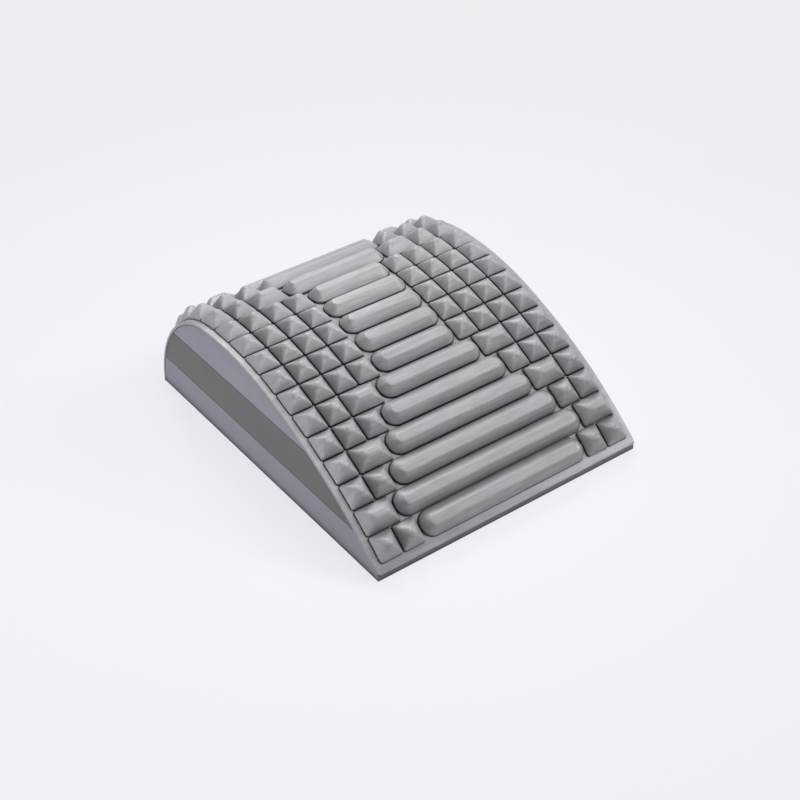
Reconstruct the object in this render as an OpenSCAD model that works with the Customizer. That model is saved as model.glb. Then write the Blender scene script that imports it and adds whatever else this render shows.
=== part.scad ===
// Back stretcher: a foam block with a long gentle front slope, a rounded shoulder and
// a steep back, covered by one moulded pad of massage studs and ribs.
// X runs across the block, Y runs from the thin front edge to the back, Z is up.
// The block stands on the plane Z = 0, with the origin at the middle of its footprint.

/* [Block] */
// Width across the block, from side face to side face
body_w = 300; // [260:5:340]

/* [Arch, as the pad's surface runs] */
// Height of the pad's surface above the floor at the thin front edge
front_edge_h = 8.8; // [7:0.1:11]
// Slope of the surface at the front edge, in degrees
front_angle = 41.5; // [39.5:0.5:43.5]
// Radius of the long front slope
slope_r = 444; // [420:4:470]
// Angle that the front slope turns through, in degrees
slope_angle = 25.3; // [23.5:0.1:27]
// Radius over the crest
crest_r = 277; // [255:1:300]
// Angle that the crest turns through, in degrees
crest_angle = 21.8; // [20:0.1:24]
// Radius round the shoulder
shoulder_r = 83; // [72:1:95]
// Angle that the shoulder turns through, in degrees
shoulder_angle = 33; // [30:0.5:36]
// Radius of the back wall, which runs down to the floor
heel_r = 122; // [110:1:134]

/* [Foam layers] */
// Thickness of the lower foam layer
lower_layer_t = 33.5; // [26:0.5:40]
// Thickness of the dark middle foam layer
middle_layer_t = 40.3; // [32:0.1:46]
// Thickness of each adhesive film between two foams
glue_t = 0.3; // [0.2:0.05:0.5]
// How far the adhesive films stop short of the block's faces
glue_inset = 2.5; // [1:0.5:5]

/* [Massage pad] */
// Thickness of the pad's sheet between the studs
sheet_t = 3; // [2.4:0.1:4]
// Flat margin of the sheet along each side
side_margin = 6.2; // [4:0.2:12]
// Flat margin of the sheet at the front edge, along the arch
front_margin = 7; // [5:0.1:12]
// Flat margin of the sheet at the floor, along the arch
heel_margin = 12.6; // [6:0.1:18]
// Rows of studs and ribs from front to back
rows = 17; // [15:2:19]
// Width of one column of studs
stud_pitch = 24.6; // [22:0.2:26]
// Width of the groove between neighbours at their feet
groove_w = 1; // [0.8:0.1:2.4]
// Height of the studs above the sheet
stud_h = 12; // [9:0.5:15]
// Height of the ribs above the sheet
rib_h = 10.2; // [8:0.1:12]
// Width of a rib's flat top, out to where it would meet the flanks in sharp edges
rib_top_w = 8.6; // [6:0.2:11]
// Radius of a rib's rounded edges, between its top and its flanks
rib_edge_r = 2.5; // [1:0.1:3.5]
// Height of the upright foot round each stud and rib
foot_h = 1.8; // [1:0.1:2.6]
// Radius of the rounded ridge and tip of a stud
tip_r = 6.5; // [4:0.5:7.5]
// Radius of a stud's foot at its corners
corner_r = 2.4; // [1:0.2:4]

/* [Hidden] */
$fn = 48;

// Colours as the object shows them
pad_grey = [0.62, 0.62, 0.64];
light_foam = [0.56, 0.57, 0.60];
dark_foam = [0.42, 0.42, 0.41];
glue_colour = [0.80, 0.78, 0.70];

// How deep a stud or rib is rooted in the sheet
root_t = sheet_t / 2;
// Widest block of studs at each side, in columns, at the middle rows
widest_block_columns = 4;
// Block width at the first and last rows, in columns
end_block_columns = 2;
// Narrowest block, one row in from each end, grows by half a column a row
block_taper = 0.5;
// Facets round a stud's ridge, and round each edge of a rib's top
ridge_steps = 4;
// How far a flat facet along the arch may lie below the true arc
surface_sag = 0.1;
// Angle that the first and last arcs run on, past the front face and the floor
run_on_angle = 4;

// Tangent angles where one arc hands over to the next, front to back
angle_0 = front_angle;
angle_1 = angle_0 - slope_angle;
angle_2 = angle_1 - crest_angle;
angle_3 = angle_2 - shoulder_angle;

// Unit vector out of the surface where its tangent angle is a
function out(a) = [-sin(a), cos(a)];
// Step along an arc of radius r while its tangent turns from a to b
function step(r, a, b) = r * (out(b) - out(a));

joint_0 = [0, front_edge_h];
joint_1 = joint_0 + step(slope_r, angle_0, angle_1);
joint_2 = joint_1 + step(crest_r, angle_1, angle_2);
joint_3 = joint_2 + step(shoulder_r, angle_2, angle_3);

// The back wall's arc ends upright, or sooner where it meets the floor
heel_centre = joint_3 - heel_r * out(angle_3);
angle_4 = heel_centre[1] > 0 ? -90 : -acos(-heel_centre[1] / heel_r);
joint_4 = joint_3 + step(heel_r, angle_3, angle_4);

// Each arc: start point, radius, start angle, end angle
arcs = [
    [joint_0, slope_r, angle_0, angle_1],
    [joint_1, crest_r, angle_1, angle_2],
    [joint_2, shoulder_r, angle_2, angle_3],
    [joint_3, heel_r, angle_3, angle_4]
];
last_arc = len(arcs) - 1;

function arc_centre(arc) = arc[0] - arc[1] * out(arc[2]);
function arc_length(arc) = arc[1] * (arc[2] - arc[3]) * PI / 180;

// Straight drop under the last arc, where that arc ends above the floor
wall_drop = joint_4[1];
// Length of the pad's surface from the front edge down to the floor
surface_length = arc_length(arcs[0]) + arc_length(arcs[1]) + arc_length(arcs[2])
    + arc_length(arcs[3]) + wall_drop;

// Point and tangent angle at a distance s along the surface, counted from arc i
function along(s, i = 0) =
    s > arc_length(arcs[i]) && i < last_arc ? along(s - arc_length(arcs[i]), i + 1)
    : s > arc_length(arcs[i]) ? on_wall(s - arc_length(arcs[i]))
    : on_arc(arcs[i], arcs[i][2] - s / arcs[i][1] * 180 / PI);
function on_arc(arc, a) = [arc_centre(arc) + arc[1] * out(a), a];
function on_wall(s) = [joint_4 - [0, s], -90];

// Rows of the pattern, which fills the surface between its two margins
row_pitch = (surface_length - front_margin - heel_margin) / rows;
function row_middle(k) = along(front_margin + (k + 0.5) * row_pitch);

// Columns of studs beside the rib in row k, on each side
middle_row = (rows - 1) / 2;
function from_middle(k) = abs(k - middle_row);
function block_columns(k) =
    from_middle(k) == middle_row ? end_block_columns
    : min(widest_block_columns, end_block_columns - block_taper
        + block_taper * (middle_row - 1 - from_middle(k)));

pattern_w = body_w - 2 * side_margin;
stud_d = row_pitch - groove_w;

// The tips of the last row reach furthest back, and set where the middle lies
last_tip = row_middle(rows - 1)[0] + stud_h * out(row_middle(rows - 1)[1]);
body_l = last_tip[0];

// Heights of the foam layers
middle_layer_z = lower_layer_t + glue_t;
upper_layer_z = middle_layer_z + middle_layer_t + glue_t;
foam_inset = sheet_t + glue_t;
// Taller and longer than the block, for cutting
beyond = 2 * (slope_r + body_w);

// Points along one arc, deeper than the surface by inset, without the arc's last point
function arc_points(arc, inset, from_a, to_a) =
    let (
        pieces = ceil(arc[1] * (from_a - to_a) * PI / 180 / sqrt(8 * arc[1] * surface_sag)),
        turn = (from_a - to_a) / pieces
    )
    [for (j = [0 : pieces - 1]) arc_centre(arc) + (arc[1] - inset) * out(from_a - j * turn)];

// Side view of everything that lies deeper than inset below the pad's surface
module arch_outline(inset) {
    below_floor = wall_drop > 0 ? angle_4 : angle_4 - run_on_angle;
    back_end = arc_centre(arcs[last_arc]) + (heel_r - inset) * out(below_floor);
    polygon(concat(
        arc_points(arcs[0], inset, angle_0 + run_on_angle, angle_1),
        arc_points(arcs[1], inset, angle_1, angle_2),
        arc_points(arcs[2], inset, angle_2, angle_3),
        arc_points(arcs[3], inset, angle_3, below_floor),
        [back_end, [back_end[0], -body_w]]
    ));
}

// Stands a side view up and gives it a width across the block
module across(w) {
    translate([0, -body_l / 2, 0]) rotate([90, 0, 90]) linear_extrude(height = w, center = true) children();
}

// Side view between two heights, from front_y backwards
module band(front_y, low, high) {
    translate([front_y, low]) square([beyond, high - low]);
}

// Side view of a ridge of base width w: an upright foot, straight flanks, a rounded top
function ridge_outline(w, h) =
    let (
        half = w / 2,
        centre = h - tip_r,
        rise = atan2(centre - foot_h, half),
        flank = rise + asin(tip_r / norm([half, centre - foot_h]))
    )
    concat(
        [[-half, -root_t], [-half, foot_h]],
        [for (i = [0 : ridge_steps])
            let (a = flank * (1 - 2 * i / ridge_steps))
            [-tip_r * sin(a), centre + tip_r * cos(a)]],
        [[half, foot_h], [half, -root_t]]
    );

// Square with rounded corners, centred
module rounded_foot(w, d) {
    square([w, d - 2 * corner_r], center = true);
    square([w - 2 * corner_r, d], center = true);
    for (x = [-1, 1], y = [-1, 1]) {
        translate([x * (w / 2 - corner_r), y * (d / 2 - corner_r)]) circle(r = corner_r, $fn = 16);
    }
}

// One massage stud: four flanks rising to a rounded tip, or to a short ridge if it is wide
module stud(w, d) {
    intersection() {
        rotate([90, 0, 90]) linear_extrude(height = 2 * w, center = true)
            polygon(ridge_outline(d, stud_h));
        rotate([90, 0, 0]) linear_extrude(height = 2 * d, center = true)
            polygon(stud_front_outline(w, d));
        translate([0, 0, -root_t]) linear_extrude(height = root_t + 2 * stud_h) rounded_foot(w, d);
    }
}

// Front view of a stud: as steep as a square one, with a level ridge on a wide one
function stud_front_outline(w, d) =
    let (half_ridge = max(0, (w - d) / 2))
    [for (p = ridge_outline(w - 2 * half_ridge, stud_h))
        [p[0] + (p[0] < 0 ? -half_ridge : half_ridge), p[1]]];

// Half of a rib's section: an upright foot, a straight flank, a rounded edge and a flat top
function rib_half_outline() =
    let (
        half = stud_d / 2,
        corner = rib_top_w / 2,
        flank = atan2(rib_h - foot_h, half - corner),
        edge_centre = [corner - rib_edge_r * tan(flank / 2), rib_h - rib_edge_r]
    )
    concat(
        [[0, -root_t], [half, -root_t], [half, foot_h]],
        [for (i = [ridge_steps : -1 : 0])
            let (a = flank * i / ridge_steps)
            edge_centre + rib_edge_r * [sin(a), cos(a)]],
        [[0, rib_h]]
    );

// One rib of length l, with a round end at each side
module rib(l) {
    straight = l - stud_d;
    rotate([90, 0, 90]) linear_extrude(height = straight, center = true)
        for (side = [0, 1]) mirror([side, 0]) polygon(rib_half_outline());
    for (side = [0, 1]) mirror([side, 0, 0]) translate([straight / 2, 0, 0])
        rotate([0, 0, -90]) rotate_extrude(angle = 180) polygon(rib_half_outline());
}

// Puts something on the surface in row k, with Z out of the surface
module on_row(k) {
    place = row_middle(k);
    translate([0, place[0][0] - body_l / 2, place[0][1]]) rotate([place[1], 0, 0]) children();
}

// The block of studs at one side of row k, from the outer edge inwards
module stud_block(k) {
    columns = block_columns(k);
    full = floor(columns) - 1;
    inner_w = (columns - full) * stud_pitch;
    for (i = [0 : 1 : full - 1]) {
        translate([(i + 0.5) * stud_pitch - pattern_w / 2, 0, 0]) stud(stud_pitch - groove_w, stud_d);
    }
    translate([full * stud_pitch + inner_w / 2 - pattern_w / 2, 0, 0]) stud(inner_w - groove_w, stud_d);
}

module massage_pad() {
    color(pad_grey) union() {
        across(body_w) intersection() {
            difference() {
                arch_outline(0);
                arch_outline(sheet_t);
            }
            band(0, 0, beyond);
        }
        for (k = [0 : rows - 1]) on_row(k) {
            rib(pattern_w - 2 * block_columns(k) * stud_pitch - groove_w);
            for (side = [0, 1]) mirror([side, 0, 0]) stud_block(k);
        }
    }
}

module pad_adhesive_film() {
    color(glue_colour) across(body_w - 2 * glue_inset) intersection() {
        difference() {
            arch_outline(sheet_t);
            arch_outline(foam_inset);
        }
        band(glue_inset, glue_inset, beyond);
    }
}

// A level slice of the foam block
module foam_layer(low, high) {
    across(body_w) intersection() {
        arch_outline(foam_inset);
        band(0, low, high);
    }
}

// A level adhesive film under a foam layer, short of the block's faces
module level_film(low) {
    across(body_w - 2 * glue_inset) intersection() {
        arch_outline(foam_inset + glue_inset);
        band(0, low, low + glue_t);
    }
}

module upper_foam_layer() { color(light_foam) foam_layer(upper_layer_z, beyond); }
module upper_adhesive_film() { color(glue_colour) level_film(upper_layer_z - glue_t); }
module middle_foam_layer() { color(dark_foam) foam_layer(middle_layer_z, middle_layer_z + middle_layer_t); }
module lower_adhesive_film() { color(glue_colour) level_film(middle_layer_z - glue_t); }
module lower_foam_layer() { color(light_foam) foam_layer(0, lower_layer_t); }

massage_pad();
pad_adhesive_film();
upper_foam_layer();
upper_adhesive_film();
middle_foam_layer();
lower_adhesive_film();
lower_foam_layer();
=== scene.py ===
"""Back stretcher: a laminated foam block with an arched top, under one moulded pad of studs and ribs.

Everything is in metres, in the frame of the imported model: X across, Y from the thin front edge to
the back, Z up. Places on the pad are given as x across, s along the arch from its front edge and
n out of its surface.
"""

import math

import bmesh
import bpy
import numpy as np
from mathutils import Matrix, Vector, noise


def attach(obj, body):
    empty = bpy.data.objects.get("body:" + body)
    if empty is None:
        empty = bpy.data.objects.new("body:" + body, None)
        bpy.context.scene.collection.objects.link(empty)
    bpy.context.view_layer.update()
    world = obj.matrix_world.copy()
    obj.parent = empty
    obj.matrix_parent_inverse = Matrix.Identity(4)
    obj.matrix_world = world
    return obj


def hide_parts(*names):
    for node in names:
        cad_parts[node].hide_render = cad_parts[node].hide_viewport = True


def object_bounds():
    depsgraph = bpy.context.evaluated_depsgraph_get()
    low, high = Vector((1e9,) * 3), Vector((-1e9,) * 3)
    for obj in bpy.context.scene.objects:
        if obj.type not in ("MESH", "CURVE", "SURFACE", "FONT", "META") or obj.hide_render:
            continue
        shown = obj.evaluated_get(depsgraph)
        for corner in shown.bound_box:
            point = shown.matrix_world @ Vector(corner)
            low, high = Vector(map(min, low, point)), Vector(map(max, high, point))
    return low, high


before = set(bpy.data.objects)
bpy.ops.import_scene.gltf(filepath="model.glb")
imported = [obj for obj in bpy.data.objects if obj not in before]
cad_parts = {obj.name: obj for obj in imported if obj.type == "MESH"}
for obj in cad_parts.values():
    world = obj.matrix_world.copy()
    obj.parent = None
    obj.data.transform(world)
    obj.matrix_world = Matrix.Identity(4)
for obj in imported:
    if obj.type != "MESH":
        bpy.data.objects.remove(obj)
cad_low, cad_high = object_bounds()

MM = 0.001

# The block: its layers, and the foam's recess and bevel under the pad
WIDTH = cad_high.x - cad_low.x
FRONT_Y = cad_low.y
LOWER_TOP = 33.5 * MM
MIDDLE_TOP = 74.1 * MM
GLUE_T = 0.3 * MM
FOAM_RECESS = 0.35 * MM
FRONT_RECESS = 1.0 * MM
FOAM_BEVEL = 0.45 * MM
BEVEL_STEPS = 2
BEVEL_FROM_ANGLE = math.radians(40)

# The arch's side view: where it starts at the front, then each arc's radius and turn
FRONT_EDGE_H = 8.8 * MM
FRONT_ANGLE = math.radians(41.5)
FRONT_ARCS = (
    (444 * MM, math.radians(25.3)),
    (277 * MM, math.radians(21.8)),
    (83 * MM, math.radians(33)),
)
HEEL_RADIUS = 122 * MM
ARCH_STEP = 2 * MM
ARCH_SAMPLES = 2000

# The pad's sheet, how far its front edge overhangs the foam, and the rounding of corners and edges
SHEET_T = 3 * MM
FRONT_LIP = 1.25 * MM
PLAN_CORNER = 3.5 * MM
TOP_EDGE = 1.0 * MM
LOW_EDGE = 0.8 * MM
SIDE_STATIONS = 230
CORNER_STEPS = 6
EDGE_STEPS = 4

# Rows and columns of the pattern, and the groove between neighbours
SIDE_MARGIN = 6.2 * MM
FRONT_MARGIN = 7 * MM
HEEL_MARGIN = 12.6 * MM
ROWS = 17
COLUMN = 24.6 * MM
GROOVE = 1.0 * MM

# Studs beside the rib: columns in the end rows, the least, the most, and the growth per row
END_COLUMNS = 2.0
LEAST_COLUMNS = 1.5
MOST_COLUMNS = 4.0
COLUMN_GROWTH = 0.5

# The upright foot under each stud and rib, how deep it roots in the sheet, and the moat round it
ROOT = 1.5 * MM
FOOT_H = 1.8 * MM
FOOT_CORNER = 2.4 * MM
MOAT_W = 0.6 * MM
MOAT_DEPTH = 1.8 * MM

# A stud: its foot's eased edge (how far in, and from and to how far under the foot's top), its tip,
# its hips, and the share of the flank by which the foot's corner has narrowed to the hip's
STUD_H = 12 * MM
FOOT_EASE = 0.06 * MM
EASE_FROM = 0.5 * MM
EASE_TO = 0.12 * MM
TIP_RADIUS = 6.5 * MM
HIP_CORNER = 1.1 * MM
HIP_START = 0.3

# Its levels: the roundest corner as a share of the half width, the share of the flank where the
# first lies, and how many the flank and the tip have
ROUNDEST = 0.97
FLANK_START = 0.04
FLANK_LEVELS = 12
TIP_LEVELS = 8

# A rib: its height, the width, edge and crown of its top, and how far under the foot's top its
# upright side ends; then its levels, as shares of the flank and of the top's half width
RIB_H = 10.2 * MM
RIB_TOP_W = 8.6 * MM
RIB_EDGE_R = 3.2 * MM
RIB_CROWN = 0.15 * MM
RIB_FOOT_TO = 0.4 * MM
RIB_FLANK_LEVELS = (0.04, 0.12, 0.35, 0.65)
RIB_EDGE_LEVELS = 8
RIB_TOP_LEVELS = (0.66, 0.33, 0.06)

# Steps round a stud's corner and a rib's end, and the points on the straight runs between them
STUD_STEPS, STUD_RUN = 6, 3
RIB_STEPS, RIB_RUN = 20, 7

# The moulded skin's wander: how far, how often in a metre, and what height counts as on the floor
WANDER = 0.10 * MM
WANDER_SCALE = 30
WANDER_SEED = 1
ON_FLOOR = 0.2 * MM

# Edges that turn by more degrees than this look sharp
PAD_SHARP_FROM = 38
FOAM_SHARP_FROM = 30


def outward(angle):
    """Unit vector out of the arch, in the side view, where its surface slopes by angle."""
    return np.array([-math.sin(angle), math.cos(angle)])


def side_view_arcs():
    """Centre, radius, first slope and last slope of each arc, front to back."""
    arcs = []
    point = np.array([0.0, FRONT_EDGE_H])
    slope = FRONT_ANGLE
    for radius, turn in FRONT_ARCS:
        centre = point - radius * outward(slope)
        arcs.append((centre, radius, slope, slope - turn))
        slope -= turn
        point = centre + radius * outward(slope)
    centre = point - HEEL_RADIUS * outward(slope)
    arcs.append((centre, HEEL_RADIUS, slope, -math.acos(-centre[1] / HEEL_RADIUS)))
    return arcs


ARCS = side_view_arcs()
ARCH_LENGTH = sum(radius * (first - last) for _, radius, first, last in ARCS)
ROW = (ARCH_LENGTH - FRONT_MARGIN - HEEL_MARGIN) / ROWS


def on_arch(x, s, n):
    """Points at x across, s along the arch and n out of it, as rows of x, y, z."""
    x, s, n = np.broadcast_arrays(*(np.asarray(values, float) for values in (x, s, n)))
    y, z = np.zeros(s.shape), np.zeros(s.shape)
    start = 0.0
    for i, (centre, radius, first, last) in enumerate(ARCS):
        here = s >= start if i else np.full(s.shape, True)
        slope = first - (s - start) / radius
        y = np.where(here, centre[0] - (radius + n) * np.sin(slope), y)
        z = np.where(here, centre[1] + (radius + n) * np.cos(slope), z)
        start += radius * (first - last)
    return np.stack([x, y + FRONT_Y, z], axis=-1)


def arch_ends(depth):
    """Along s, where a line depth under the surface leaves the front plane and meets the floor."""
    centre, radius, first, _ = ARCS[0]
    front = (first - math.asin(centre[0] / (radius - depth))) * radius
    centre, radius, _, last = ARCS[-1]
    heel = ARCH_LENGTH + (last + math.acos(-centre[1] / (radius - depth))) * radius
    return front, heel


def arch_line(depth, s_from, s_to):
    """Side-view points (y, z) along the arch, depth under its surface."""
    count = max(2, int(abs(s_to - s_from) / ARCH_STEP) + 1)
    return on_arch(0, np.linspace(s_from, s_to, count), -depth)[:, 1:]


def link(name, data):
    obj = bpy.data.objects.new(name, data)
    bpy.context.scene.collection.objects.link(obj)
    return obj


def bare_mesh(name, vertices, faces):
    mesh = bpy.data.meshes.new(name)
    mesh.from_pydata([tuple(v) for v in vertices], [], faces)
    mesh.update()
    return mesh


def turn_faces_outward(mesh):
    bm = bmesh.new()
    bm.from_mesh(mesh)
    bmesh.ops.recalc_face_normals(bm, faces=bm.faces)
    bm.to_mesh(mesh)
    bm.free()


def apply_modifier(obj, kind, **values):
    modifier = obj.modifiers.new(kind.lower(), kind)
    for key, value in values.items():
        setattr(modifier, key, value)
    depsgraph = bpy.context.evaluated_depsgraph_get()
    mesh = bpy.data.meshes.new_from_object(obj.evaluated_get(depsgraph))
    obj.modifiers.clear()
    old, obj.data = obj.data, mesh
    bpy.data.meshes.remove(old)


def smooth(obj, sharp_from):
    """Smooth shading, apart from edges that turn by more than sharp_from degrees."""
    mesh = obj.data
    mesh.shade_smooth()
    mesh.set_sharp_from_angle(angle=math.radians(sharp_from))


def wander(obj):
    """Moves the points a little by smooth noise, as soft foam is never quite true."""
    mesh = obj.data
    points = np.empty(len(mesh.vertices) * 3)
    mesh.vertices.foreach_get("co", points)
    points = points.reshape(-1, 3)
    noise.seed_set(WANDER_SEED)
    moves = [noise.noise_vector(Vector(p) * WANDER_SCALE) for p in points]
    moved = points + np.array(moves) * WANDER
    moved[:, 0] = np.clip(moved[:, 0], -WIDTH / 2, WIDTH / 2)
    on_floor = points[:, 2] < ON_FLOOR
    moved[on_floor, 2] = points[on_floor, 2]
    moved[:, 2] = np.maximum(moved[:, 2], 0)
    mesh.vertices.foreach_set("co", moved.ravel())
    mesh.update()


# The pad's sheet


def at_height(outline, n):
    return np.column_stack([outline, np.full(len(outline), n)])


def border(inset, depth):
    """The sheet's border, from the left heel round the front to the right heel, as rows of x, s, n."""
    _, heel = arch_ends(depth)
    edge, start, corner = inset - WIDTH / 2, inset - FRONT_LIP, PLAN_CORNER - inset
    along = np.linspace(heel, start + corner, SIDE_STATIONS)
    side = np.column_stack([np.full(SIDE_STATIONS, edge), along])
    angles = np.linspace(0, math.pi / 2, CORNER_STEPS + 1)[1:]
    rounded_in, rounded_on = corner * (1 - np.cos(angles)), corner * (1 - np.sin(angles))
    arc = np.column_stack([edge + rounded_in, start + rounded_on])
    left = at_height(np.vstack([side, arc]), -depth)
    return np.vstack([left, left[::-1] * (-1, 1, 1)])


def pad_sheet():
    """The sheet over the arch, closed, with its corners and edges rounded."""
    rings = []
    quarter = [(1 - math.cos(a), 1 - math.sin(a)) for a in np.linspace(0, math.pi / 2, EDGE_STEPS + 1)]
    for inward, along in quarter[::-1]:
        rings.append(border(LOW_EDGE * inward, SHEET_T - LOW_EDGE * along))
    for inward, along in quarter:
        rings.append(border(TOP_EDGE * inward, TOP_EDGE * along))
    vertices = np.vstack([on_arch(*ring.T) for ring in rings])
    count = len(rings[0])
    top = (len(rings) - 1) * count
    faces = []
    for base in range(0, top, count):
        above = base + count
        faces += [[base + i, base + i + 1, above + i + 1, above + i] for i in range(count - 1)]
        faces.append([base, above, above + count - 1, above - 1])
    for base in (0, top):
        end = base + count - 1
        faces += [[base + i, base + i + 1, end - i - 1, end - i] for i in range(count // 2 - 1)]
    mesh = bare_mesh("studded_pad", vertices, faces)
    turn_faces_outward(mesh)
    return link("studded_pad", mesh)


# Studs and ribs


def ring_of_arcs(arcs, radius, steps, between):
    """A closed ring of arcs (centre, first angle, turn) of one radius, with straight runs between."""

    def on_circle(centre, angle):
        return np.asarray(centre) + radius * np.array([math.cos(angle), math.sin(angle)])

    points = []
    for i, (centre, first, turn) in enumerate(arcs):
        points += [on_circle(centre, a) for a in first + turn * np.linspace(0, 1, steps + 1)]
        next_centre, next_first, _ = arcs[(i + 1) % len(arcs)]
        behind, ahead = points[-1], on_circle(next_centre, next_first)
        points += [behind + (ahead - behind) * j / (between + 1) for j in range(1, between + 1)]
    return np.array(points)


def rounded_box(half_x, half_y, corner):
    quarter = math.pi / 2
    signs = ((1, 1), (-1, 1), (-1, -1), (1, -1))
    centres = [(across * (half_x - corner), along * (half_y - corner)) for across, along in signs]
    arcs = [(centre, i * quarter, quarter) for i, centre in enumerate(centres)]
    return ring_of_arcs(arcs, corner, STUD_STEPS, STUD_RUN)


def stadium(half_straight, radius):
    right_end = ((half_straight, 0), -math.pi / 2, math.pi)
    left_end = ((-half_straight, 0), math.pi / 2, math.pi)
    return ring_of_arcs([right_end, left_end], radius, RIB_STEPS, RIB_RUN)


class Skin:
    """Vertices and faces of several closed lofts, gathered for one mesh."""

    def __init__(self):
        self.vertices, self.faces = [], []

    def loft(self, rings, x, s):
        """Closes rings of points (across, along, out), low to high, into a solid at x, s on the arch."""
        count = len(rings[0])
        base = len(self.vertices)
        for ring in rings:
            self.vertices += list(on_arch(x + ring[:, 0], s + ring[:, 1], ring[:, 2]))
        for level in range(len(rings) - 1):
            low, high = base + level * count, base + (level + 1) * count
            for i in range(count):
                j = (i + 1) % count
                self.faces.append([low + i, low + j, high + j, high + i])
        self.faces.append([base + i for i in range(count)][::-1])
        top = base + (len(rings) - 1) * count
        self.faces.append([top + i for i in range(count)])

    def combine_into(self, obj, operation):
        tool = link("tool", bare_mesh("tool", self.vertices, self.faces))
        apply_modifier(obj, "BOOLEAN", operation=operation, solver="MANIFOLD", object=tool)
        bpy.data.objects.remove(tool)


def block_columns(k):
    """Columns of studs on each side of the rib in row k."""
    middle = (ROWS - 1) / 2
    rows_in = middle - 1 - abs(k - middle)
    if rows_in < 0:
        return END_COLUMNS
    return min(MOST_COLUMNS, LEAST_COLUMNS + COLUMN_GROWTH * rows_in)


def pattern():
    """Row, place in the row, x, s, length across and whether it is the rib, for every stud and rib."""
    span = WIDTH - 2 * SIDE_MARGIN
    for k in range(ROWS):
        columns = block_columns(k)
        full = int(columns) - 1
        block = [COLUMN] * full + [(columns - full) * COLUMN]
        s = FRONT_MARGIN + (k + 0.5) * ROW
        x = -span / 2
        for i, length in enumerate(block + [span - 2 * sum(block)] + block[::-1]):
            yield k, i, x + length / 2, s, length - GROOVE, i == len(block)
            x += length


def foot_outline(length, is_rib, grown):
    half = (ROW - GROOVE) / 2
    if is_rib:
        return stadium(length / 2 - half, half + grown)
    return rounded_box(length / 2 + grown, half + grown, FOOT_CORNER + grown)


def stud_rings(length):
    """Level outlines of a stud: an upright foot, flanks that grow rounder on the way up, a round tip."""
    depth = ROW - GROOVE
    half_ridge = max(0.0, (length - depth) / 2)
    half = min(length, depth) / 2
    centre = STUD_H - TIP_RADIUS
    rise = centre - FOOT_H
    flank = math.atan2(rise, half) + math.asin(TIP_RADIUS / math.hypot(half, rise))
    tip_half, tip_low = TIP_RADIUS * math.sin(flank), centre + TIP_RADIUS * math.cos(flank)

    def outline(size_x, size_y, corner, n):
        ring = rounded_box(size_x, size_y, min(corner, ROUNDEST * min(size_x, size_y)))
        # The long stud's two halves are drawn apart by its ridge
        ring[:, 0] += half_ridge * np.sign(np.round(ring[:, 0] / MM, 6))
        return at_height(ring, n)

    half_x, half_y = length / 2 - half_ridge, depth / 2
    rings = [outline(half_x, half_y, FOOT_CORNER, n) for n in (-ROOT, 0, FOOT_H - EASE_FROM)]
    rings.append(outline(half_x - FOOT_EASE, half_y - FOOT_EASE, FOOT_CORNER, FOOT_H - EASE_TO))
    for part in np.linspace(FLANK_START, 1, FLANK_LEVELS):
        size_x, size_y = (size + (tip_half - size) * part for size in (half_x, half_y))
        near_foot = max(0.0, 1 - part / HIP_START) ** 2
        corner = HIP_CORNER + (FOOT_CORNER - HIP_CORNER) * near_foot + (tip_half - HIP_CORNER) * part**3
        rings.append(outline(size_x, size_y, corner, FOOT_H + (tip_low - FOOT_H) * part))
    for angle in flank * (1 - np.arange(1, TIP_LEVELS) / TIP_LEVELS):
        size = TIP_RADIUS * math.sin(angle)
        rings.append(outline(size, size, size, centre + TIP_RADIUS * math.cos(angle)))
    return rings


def rib_rings(length):
    """Level outlines of a rib: an upright foot, straight flanks, a rounded edge and a crowned top."""
    half = (ROW - GROOVE) / 2
    corner = RIB_TOP_W / 2
    flank = math.atan2(RIB_H - FOOT_H, half - corner)
    reach, centre = corner - RIB_EDGE_R * math.tan(flank / 2), RIB_H - RIB_EDGE_R

    def outline(radius, n):
        return at_height(stadium(length / 2 - half, radius), n)

    rings = [outline(half, n) for n in (-ROOT, 0, FOOT_H - RIB_FOOT_TO)]
    angles = flank * np.linspace(1, 0, RIB_EDGE_LEVELS)
    edge = [(reach + RIB_EDGE_R * math.sin(a), centre + RIB_EDGE_R * math.cos(a)) for a in angles]
    start = np.array([half, FOOT_H])
    rings += [outline(*(start + (edge[0] - start) * part)) for part in RIB_FLANK_LEVELS]
    rings += [outline(radius, n) for radius, n in edge]
    for part in RIB_TOP_LEVELS:
        rings.append(outline(reach * part, RIB_H + RIB_CROWN * (1 - part * part)))
    return rings


def make_pad():
    """The whole pad: its sheet, a fine moat round every foot, and the studs and ribs."""
    pad = pad_sheet()
    raised, moats = Skin(), {}
    for k, i, x, s, length, is_rib in pattern():
        # Moats that touch each other are cut at different times
        moat = moats.setdefault((k % 2, i % 2), Skin())
        outline = foot_outline(length, is_rib, MOAT_W)
        moat.loft([at_height(outline, -MOAT_DEPTH), at_height(outline, FOOT_H)], x, s)
        raised.loft(rib_rings(length) if is_rib else stud_rings(length), x, s)
    for moat in moats.values():
        moat.combine_into(pad, "DIFFERENCE")
    raised.combine_into(pad, "UNION")
    wander(pad)
    smooth(pad, PAD_SHARP_FROM)
    return pad


# Foam layers


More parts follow.
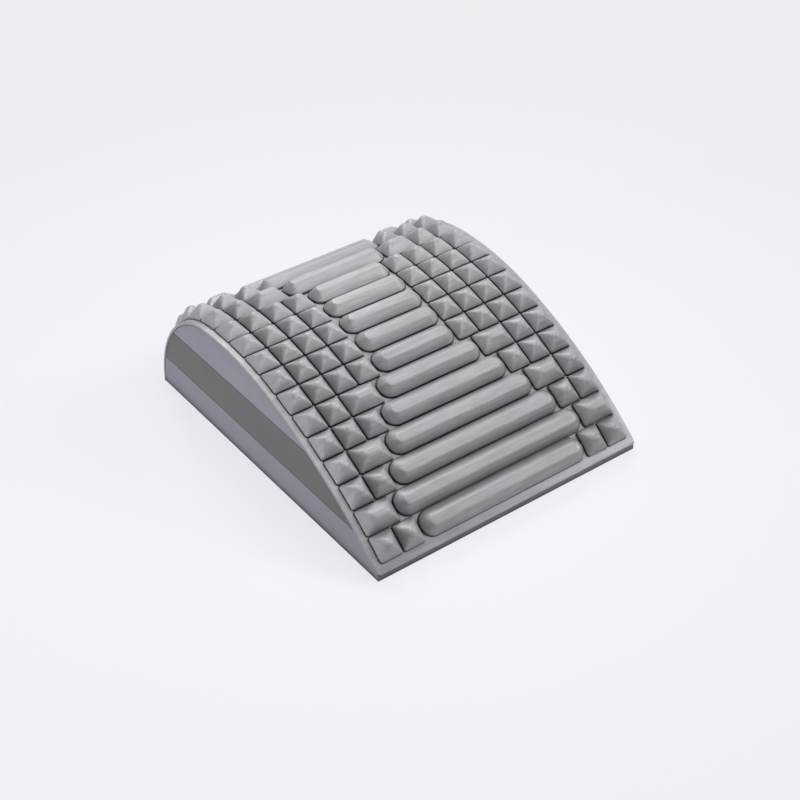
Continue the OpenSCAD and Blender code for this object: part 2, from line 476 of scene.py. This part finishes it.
def layer_outline(low, high):
    """Side view of the foam between two heights, under the pad and its adhesive."""
    depth = SHEET_T + GLUE_T
    along = np.linspace(*arch_ends(depth), ARCH_SAMPLES)
    heights = on_arch(0, along, -depth)[:, 2]
    crest = int(heights.argmax())

    def rising(z):
        return float(np.interp(z, heights[: crest + 1], along[: crest + 1]))

    def falling(z):
        return float(np.interp(-z, -heights[crest:], along[crest:]))

    if high < heights[crest]:
        front_line = arch_line(depth, rising(low), rising(high))
        back_line = arch_line(depth, falling(high), falling(low))
        outline = np.vstack([front_line, back_line])
    else:
        outline = arch_line(depth, rising(low), falling(low))
    if low == 0:
        outline = np.vstack([(FRONT_Y, 0), outline])
    outline[:, 0] = np.maximum(outline[:, 0], FRONT_Y + FRONT_RECESS)
    return outline


def foam_layer(name, low, high):
    """A level slice of the foam block, a little inside the pad's edges."""
    outline = layer_outline(low, high)
    count = len(outline)
    left = np.column_stack([np.full(count, FOAM_RECESS - WIDTH / 2), outline])
    faces = [list(range(count)), [i + count for i in range(count)]]
    faces += [[i, (i + 1) % count, (i + 1) % count + count, i + count] for i in range(count)]
    mesh = bare_mesh(name, np.vstack([left, left * (-1, 1, 1)]), faces)
    turn_faces_outward(mesh)
    obj = link(name, mesh)
    edges = {"limit_method": "ANGLE", "angle_limit": BEVEL_FROM_ANGLE}
    apply_modifier(obj, "BEVEL", width=FOAM_BEVEL, segments=BEVEL_STEPS, **edges)
    smooth(obj, FOAM_SHARP_FROM)
    return obj


# Materials

# Painted shade: the colour darkens in the narrow grooves and seams, and more faintly low on the flanks,
# where shade falls:
# reach, darkest, and the openness at which each is darkest and clear
PAINTED_CREVICE_SHADES = ((3 * MM, 0.01, 0.24, 0.72), (12 * MM, 0.15, 0.3, 0.95))
PAINTED_SHADE_SAMPLES = 8

# Noises, how often in a metre and how detailed: blotches, streaks across the block, glue strands
BLOTCHES = (28, 3)
STREAKS = (260, 3)
STRANDS = (260, 5)
STREAK_STRETCH = (0.15, 1, 1)
GRAIN_DETAIL = 6
CELL_DETAIL = 4

# What part of a noise's range a ramp covers, and how dark the grain and the streaks get
NOISE_RANGE = (0.3, 0.7)
GRAIN_SHADE = (0.84,) * 3
STREAK_SHADE = (0.8,) * 3
WHITE = (1.0,) * 3

ROUGHNESS_SWING = 0.08
GRAIN_DEPTH = 0.08 * MM
GRAIN_STRENGTH = 0.6
BUMP_STRENGTH = 0.5

GLUE_TONES = ((0.42, 0.39, 0.31), (0.62, 0.59, 0.5))
GLUE_RANGE = (0.35, 0.65)
GLUE_ROUGHNESS = (0.45, 0.8)
GLUE_DEPTH = 0.1 * MM


def node_material(name):
    material = bpy.data.materials.new(name)
    material.use_nodes = True
    nodes, links = material.node_tree.nodes, material.node_tree.links
    return material, nodes, links, nodes["Principled BSDF"]


def add_noise(nodes, links, position, scale, detail):
    texture = nodes.new("ShaderNodeTexNoise")
    texture.inputs["Scale"].default_value = scale
    texture.inputs["Detail"].default_value = detail
    links.new(position, texture.inputs["Vector"])
    return texture.outputs["Fac"]


def add_cells(nodes, links, position, scale):
    texture = nodes.new("ShaderNodeTexVoronoi")
    texture.inputs["Scale"].default_value = scale
    texture.inputs["Detail"].default_value = CELL_DETAIL
    links.new(position, texture.inputs["Vector"])
    return texture.outputs["Distance"]


def ramp(nodes, links, value, stops, colours):
    made = nodes.new("ShaderNodeValToRGB")
    for element, stop, colour in zip(made.color_ramp.elements, stops, colours):
        element.position, element.color = stop, (*colour, 1)
    links.new(value, made.inputs["Fac"])
    return made.outputs["Color"]


def multiply(nodes, links, a, b):
    made = nodes.new("ShaderNodeMix")
    made.data_type = "RGBA"
    made.blend_type = "MULTIPLY"
    made.inputs["Factor"].default_value = 1.0
    links.new(a, made.inputs["A"])
    links.new(b, made.inputs["B"])
    return made.outputs["Result"]


def remap(nodes, links, value, low, high):
    made = nodes.new("ShaderNodeMapRange")
    made.inputs["To Min"].default_value, made.inputs["To Max"].default_value = low, high
    links.new(value, made.inputs["Value"])
    return made.outputs["Result"]


def bump(nodes, links, height, distance, strength, below=None):
    made = nodes.new("ShaderNodeBump")
    made.inputs["Distance"].default_value = distance
    made.inputs["Strength"].default_value = strength
    links.new(height, made.inputs["Height"])
    if below is not None:
        links.new(below, made.inputs["Normal"])
    return made.outputs["Normal"]


def painted_crevice_shade(nodes, links, reach, darkest, closed, clear):
    """Painted shade: white in the open, falling to darkest grey where the surface is hemmed in within
    reach.
    """
    openness = nodes.new("ShaderNodeAmbientOcclusion")
    openness.samples = PAINTED_SHADE_SAMPLES
    openness.inputs["Distance"].default_value = reach
    return ramp(nodes, links, openness.outputs["AO"], (closed, clear), ((darkest,) * 3, WHITE))


def moulding_streaks(nodes, links, position):
    """Noise drawn out across the block, as a mould leaves it in the skin."""
    stretched = nodes.new("ShaderNodeMapping")
    stretched.inputs["Scale"].default_value = STREAK_STRETCH
    links.new(position, stretched.inputs["Vector"])
    return add_noise(nodes, links, stretched.outputs["Vector"], *STREAKS)


def foam_material(name, colour, contrast, roughness, sheen, grain, cells, cell_depth, flow=0.0):
    """Foam: mottled colour, fine grain, painted crevice shade, cells of some depth and, with flow,
    moulding streaks.
    """
    material, nodes, links, shader = node_material(name)
    position = nodes.new("ShaderNodeTexCoord").outputs["Object"]
    colour = np.array(colour)
    blotches = add_noise(nodes, links, position, *BLOTCHES)
    speckle = add_noise(nodes, links, position, grain, GRAIN_DETAIL)
    tones = (colour * (1 - contrast), colour * (1 + contrast))
    base = ramp(nodes, links, blotches, NOISE_RANGE, tones)
    fine = ramp(nodes, links, speckle, NOISE_RANGE, (GRAIN_SHADE, WHITE))
    base_colour = multiply(nodes, links, base, fine)
    # Painted shade: the colour darkens in grooves and low on the flanks, where shade falls
    for shade in PAINTED_CREVICE_SHADES:
        base_colour = multiply(nodes, links, base_colour, painted_crevice_shade(nodes, links, *shade))
    smoother, rougher = roughness - ROUGHNESS_SWING, roughness + ROUGHNESS_SWING
    links.new(remap(nodes, links, speckle, smoother, rougher), shader.inputs["Roughness"])
    shader.inputs["Specular IOR Level"].default_value = sheen
    grain_bump = bump(nodes, links, speckle, GRAIN_DEPTH, GRAIN_STRENGTH)
    pits = add_cells(nodes, links, position, cells)
    surface = bump(nodes, links, pits, cell_depth, BUMP_STRENGTH, grain_bump)
    if flow:
        streaks = moulding_streaks(nodes, links, position)
        surface = bump(nodes, links, streaks, flow, BUMP_STRENGTH, surface)
        streaked = ramp(nodes, links, streaks, NOISE_RANGE, (STREAK_SHADE, WHITE))
        base_colour = multiply(nodes, links, base_colour, streaked)
    links.new(base_colour, shader.inputs["Base Color"])
    links.new(surface, shader.inputs["Normal"])
    return material


def adhesive_material():
    material, nodes, links, shader = node_material("dried_adhesive")
    position = nodes.new("ShaderNodeTexCoord").outputs["Object"]
    strands = add_noise(nodes, links, position, *STRANDS)
    links.new(ramp(nodes, links, strands, GLUE_RANGE, GLUE_TONES), shader.inputs["Base Color"])
    links.new(remap(nodes, links, strands, *GLUE_ROUGHNESS), shader.inputs["Roughness"])
    links.new(bump(nodes, links, strands, GLUE_DEPTH, BUMP_STRENGTH), shader.inputs["Normal"])
    return material


# Stage

# The backdrop's colour
PALE = (0.930, 0.945, 0.985)

# The lamps: the point that softboxes are turned to, their usual size, and degrees of spread and
# of a sun's softness
SOFTBOX_AIM = Vector((0, 0.04, 0.08))
SOFTBOX_SIZE = 0.25
FULL_SPREAD = 179
SUN_SOFTNESS = 20

# The floor, which lies a little under the object's own underside
FLOOR_HALF = 8.0
FLOOR_LEVEL = -0.05 * MM
FLOOR_ROUGHNESS = 0.9


def backdrop_world(strength, colour):
    """Soft light from all round; the camera and reflections see the pale backdrop in it."""
    world = bpy.data.worlds.new("studio")
    bpy.context.scene.world = world
    world.use_nodes = True
    nodes, links = world.node_tree.nodes, world.node_tree.links
    light = nodes["Background"]
    light.inputs["Color"].default_value = (*colour, 1)
    light.inputs["Strength"].default_value = strength
    seen = nodes.new("ShaderNodeBackground")
    seen.inputs["Color"].default_value = (*PALE, 1)
    rays = nodes.new("ShaderNodeLightPath")
    showing = rays.outputs["Is Camera Ray"]
    for ray in ("Is Glossy Ray", "Is Transmission Ray"):
        either = nodes.new("ShaderNodeMath")
        either.operation = "MAXIMUM"
        links.new(showing, either.inputs[0])
        links.new(rays.outputs[ray], either.inputs[1])
        showing = either.outputs[0]
    choose = nodes.new("ShaderNodeMixShader")
    links.new(showing, choose.inputs["Fac"])
    links.new(light.outputs[0], choose.inputs[1])
    links.new(seen.outputs[0], choose.inputs[2])
    links.new(choose.outputs[0], nodes["World Output"].inputs["Surface"])


def add_lamp(name, kind, towards):
    """A lamp that shines from the direction towards, and its data."""
    data = bpy.data.lights.new(name, kind)
    obj = link(name, data)
    obj.rotation_mode = "QUATERNION"
    obj.rotation_quaternion = towards.to_track_quat("Z", "Y")
    return obj, data


def sun(name, azimuth, elevation, strength):
    """A broad lamp; azimuth 0 stands in front of the block, 90 at its right."""
    a, e = math.radians(azimuth), math.radians(elevation)
    towards = Vector((math.sin(a) * math.cos(e), -math.cos(a) * math.cos(e), math.sin(e)))
    _, data = add_lamp(name, "SUN", towards)
    data.energy, data.angle = strength, math.radians(SUN_SOFTNESS)


def softbox(name, place, strength, size=SOFTBOX_SIZE, spread=FULL_SPREAD, colour=(1, 1, 1)):
    """A round lamp turned to the block's middle, where it would render white at this strength."""
    towards = Vector(place) - SOFTBOX_AIM
    obj, data = add_lamp(name, "AREA", towards)
    obj.location = place
    data.shape = "DISK"
    data.size = size
    data.spread = math.radians(spread)
    # A narrower spread gathers the lamp's energy in a brighter beam, so it needs less of it
    gathered = 1 - data.spread / 2 / math.tan(data.spread / 2)
    data.energy = strength * gathered * (math.pi * towards.length) ** 2
    data.color = colour


def make_floor(colour, evenness):
    """A pale floor; the camera sees the backdrop's even colour in it, by the share of evenness."""
    signs = ((-1, -1), (1, -1), (1, 1), (-1, 1))
    corners = [(FLOOR_HALF * across, FLOOR_HALF * along, FLOOR_LEVEL) for across, along in signs]
    floor = link("floor", bare_mesh("floor", corners, [[0, 1, 2, 3]]))
    material, nodes, links, shader = node_material("pale_floor")
    shader.inputs["Base Color"].default_value = (*colour, 1)
    shader.inputs["Roughness"].default_value = FLOOR_ROUGHNESS
    shader.inputs["Specular IOR Level"].default_value = 0.0
    seen = nodes.new("ShaderNodeEmission")
    seen.inputs["Color"].default_value = (*PALE, 1)
    share = nodes.new("ShaderNodeMath")
    share.operation = "MULTIPLY"
    share.inputs[1].default_value = evenness
    links.new(nodes.new("ShaderNodeLightPath").outputs["Is Camera Ray"], share.inputs[0])
    choose = nodes.new("ShaderNodeMixShader")
    links.new(share.outputs[0], choose.inputs["Fac"])
    links.new(shader.outputs[0], choose.inputs[1])
    links.new(seen.outputs[0], choose.inputs[2])
    links.new(choose.outputs[0], nodes["Material Output"].inputs["Surface"])
    floor.data.materials.append(material)


def make_camera():
    """The photograph's view, from the front left and above."""
    azimuth, elevation, roll = math.radians(-36.60), math.radians(37.65), math.radians(-0.303)
    place = Vector((-722.9, -803.5, 959.3)) * MM + Vector((0, FRONT_Y, 0))
    level = math.cos(elevation)
    back = Vector((math.sin(azimuth) * level, -math.cos(azimuth) * level, math.sin(elevation)))
    right = Vector((math.cos(azimuth), math.sin(azimuth), 0))
    up = back.cross(right)
    rolled_right = right * math.cos(roll) + up * math.sin(roll)
    rolled_up = back.cross(rolled_right)
    data = bpy.data.cameras.new("camera")
    data.sensor_width, data.lens = 36, 71.67
    data.clip_start, data.clip_end = 0.05, 50
    camera = link("camera", data)
    turn = Matrix((rolled_right, rolled_up, back)).transposed()
    camera.matrix_world = Matrix.Translation(place) @ turn.to_4x4()
    bpy.context.scene.camera = camera


# Build

PAD_GREY = (0.465, 0.455, 0.487)
LIGHT_GREY = (0.400, 0.400, 0.445)
DARK_GREY = (0.229, 0.227, 0.221)

MOULDED = dict(roughness=0.37, sheen=0.7, grain=1400, cells=1900, cell_depth=0.05 * MM, flow=1.0 * MM)
CUT = dict(roughness=0.85, sheen=0.25, grain=1800, cells=2300, cell_depth=0.12 * MM)

pad_material = foam_material("moulded_foam_skin", PAD_GREY, contrast=0.03, **MOULDED)
light_material = foam_material("cut_light_foam", LIGHT_GREY, contrast=0.025, **CUT)
dark_material = foam_material("cut_dark_foam", DARK_GREY, contrast=0.03, **CUT)
glue_material = adhesive_material()

studded_pad = make_pad()
upper_foam = foam_layer("upper_foam", MIDDLE_TOP + GLUE_T, math.inf)
middle_foam = foam_layer("middle_foam", LOWER_TOP + GLUE_T, MIDDLE_TOP)
lower_foam = foam_layer("lower_foam", 0, LOWER_TOP)

# Each piece of the visual model, with the node that it replaces, its slot and its material
PIECES = (
    (studded_pad, "massage_pad", "massage_pad", pad_material),
    (upper_foam, "upper_foam_layer", "light_foam", light_material),
    (middle_foam, "middle_foam_layer", "dark_foam", dark_material),
    (lower_foam, "lower_foam_layer", "light_foam", light_material),
)
for piece, node, slot_name, finish in PIECES:
    piece.data.materials.clear()
    piece.data.materials.append(finish)
    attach(piece, "root")
    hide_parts(node)

for film in ("pad_adhesive_film", "upper_adhesive_film", "lower_adhesive_film"):
    film_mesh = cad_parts[film].data
    film_mesh.materials.clear()
    film_mesh.materials.append(glue_material)

make_camera()
make_floor(colour=(0.90, 0.91, 0.94), evenness=0.8)
backdrop_world(strength=0.03, colour=(0.97, 0.98, 1.0))
sun("front_right_lamp", azimuth=60, elevation=32, strength=1.25)
sun("back_lamp", azimuth=160, elevation=42, strength=1.05)
softbox("left_softbox", (-1.5, 0.08, 0.22), 0.45, size=0.4, spread=60, colour=(0.94, 0.95, 1.0))
softbox("front_softbox", (-0.06, -0.2, 0.46), 0.29)
softbox("right_softbox", (0.3, -0.1, 0.5), 0.12)
softbox("top_softbox", (0.03, 0.18, 0.5), 0.29)

bpy.context.scene.view_settings.view_transform = "Standard"
